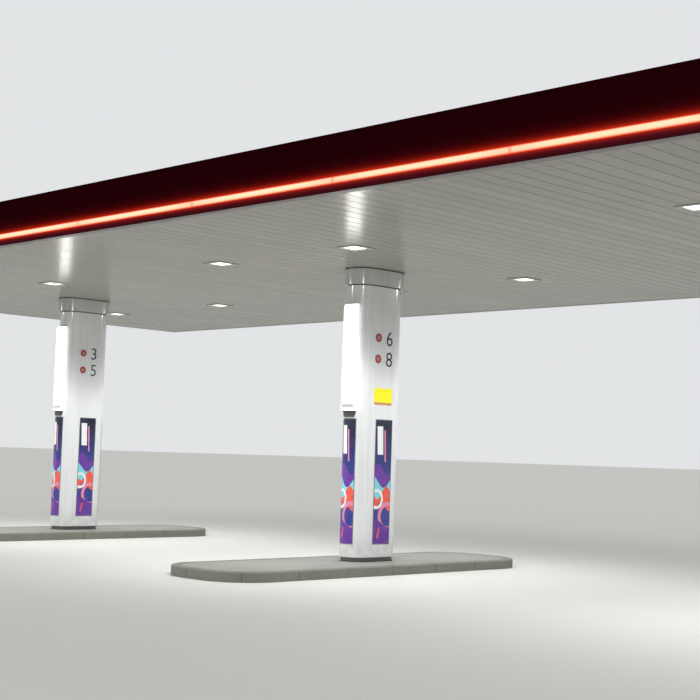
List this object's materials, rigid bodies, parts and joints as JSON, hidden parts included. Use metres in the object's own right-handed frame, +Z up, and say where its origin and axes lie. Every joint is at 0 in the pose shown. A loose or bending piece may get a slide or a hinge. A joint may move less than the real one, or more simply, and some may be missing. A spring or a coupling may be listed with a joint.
{
  "type": "filling station canopy",
  "caption": "Flat-roofed vehicle canopy on one row of clad columns with a curved lit fascia, a boarded soffit with downlights, and kerbed islands at the column feet.",
  "frame": {"origin": "on the ground under the centre of the canopy roof", "axes": "+X along the front fascia, +Y from the front fascia to the back, +Z up"},
  "size_m": [25.337, 10.672, 5.398],
  "materials": {
    "concrete_kerb": "cast",
    "concrete_top": "brushed",
    "steel_frame": "primer",
    "plinth_grey": "satin",
    "silver_cladding": "satin",
    "lamp_housing": "satin",
    "lamp_cover": "opal",
    "poster_print": "printed",
    "yellow_plate": "gloss",
    "soffit_boards": "gloss",
    "soffit_trim": "gloss",
    "downlight_rim": "satin",
    "downlight_glass": "frosted",
    "red_fascia": "gloss",
    "light_strip": "opal",
    "roof_steel": "matt"
  },
  "bodies": {
    "root": {"island_kerb_left": "concrete_kerb", "island_kerb_middle": "concrete_kerb", "island_kerb_right": "concrete_kerb", "island_top_left": "concrete_top", "island_top_middle": "concrete_top", "island_top_right": "concrete_top", "steel_posts": "steel_frame", "column_plinths": "plinth_grey", "column_cladding_left": "silver_cladding", "column_cladding_middle": "silver_cladding", "column_cladding_right": "silver_cladding", "column_collars": "silver_cladding", "light_box_left": "lamp_housing", "light_box_middle": "lamp_housing", "light_box_right": "lamp_housing", "light_box_covers": "lamp_cover", "poster_panels": "poster_print", "coloured_plates": "yellow_plate", "soffit_left": "soffit_boards", "soffit_middle": "soffit_boards", "soffit_right": "soffit_boards", "soffit_trim_long": "soffit_trim", "soffit_trim_ends": "soffit_trim", "downlight_rims": "downlight_rim", "downlight_glasses": "downlight_glass", "strip_tray_long": "red_fascia", "strip_tray_ends": "red_fascia", "light_strip_long": "light_strip", "light_strip_ends": "light_strip", "fascia_front": "red_fascia", "fascia_back": "red_fascia", "fascia_left": "red_fascia", "fascia_right": "red_fascia", "parapet_cap_long": "red_fascia", "parapet_cap_ends": "red_fascia", "fascia_formers": "steel_frame", "edge_beams": "steel_frame", "ceiling_rails": "steel_frame", "cantilever_beams": "steel_frame", "purlins": "steel_frame", "roof_deck_front": "roof_steel", "roof_deck_back": "roof_steel", "ridge_cap": "roof_steel", "roof_gutters": "roof_steel", "gutter_outlets": "roof_steel"}
  },
  "joints": []
}
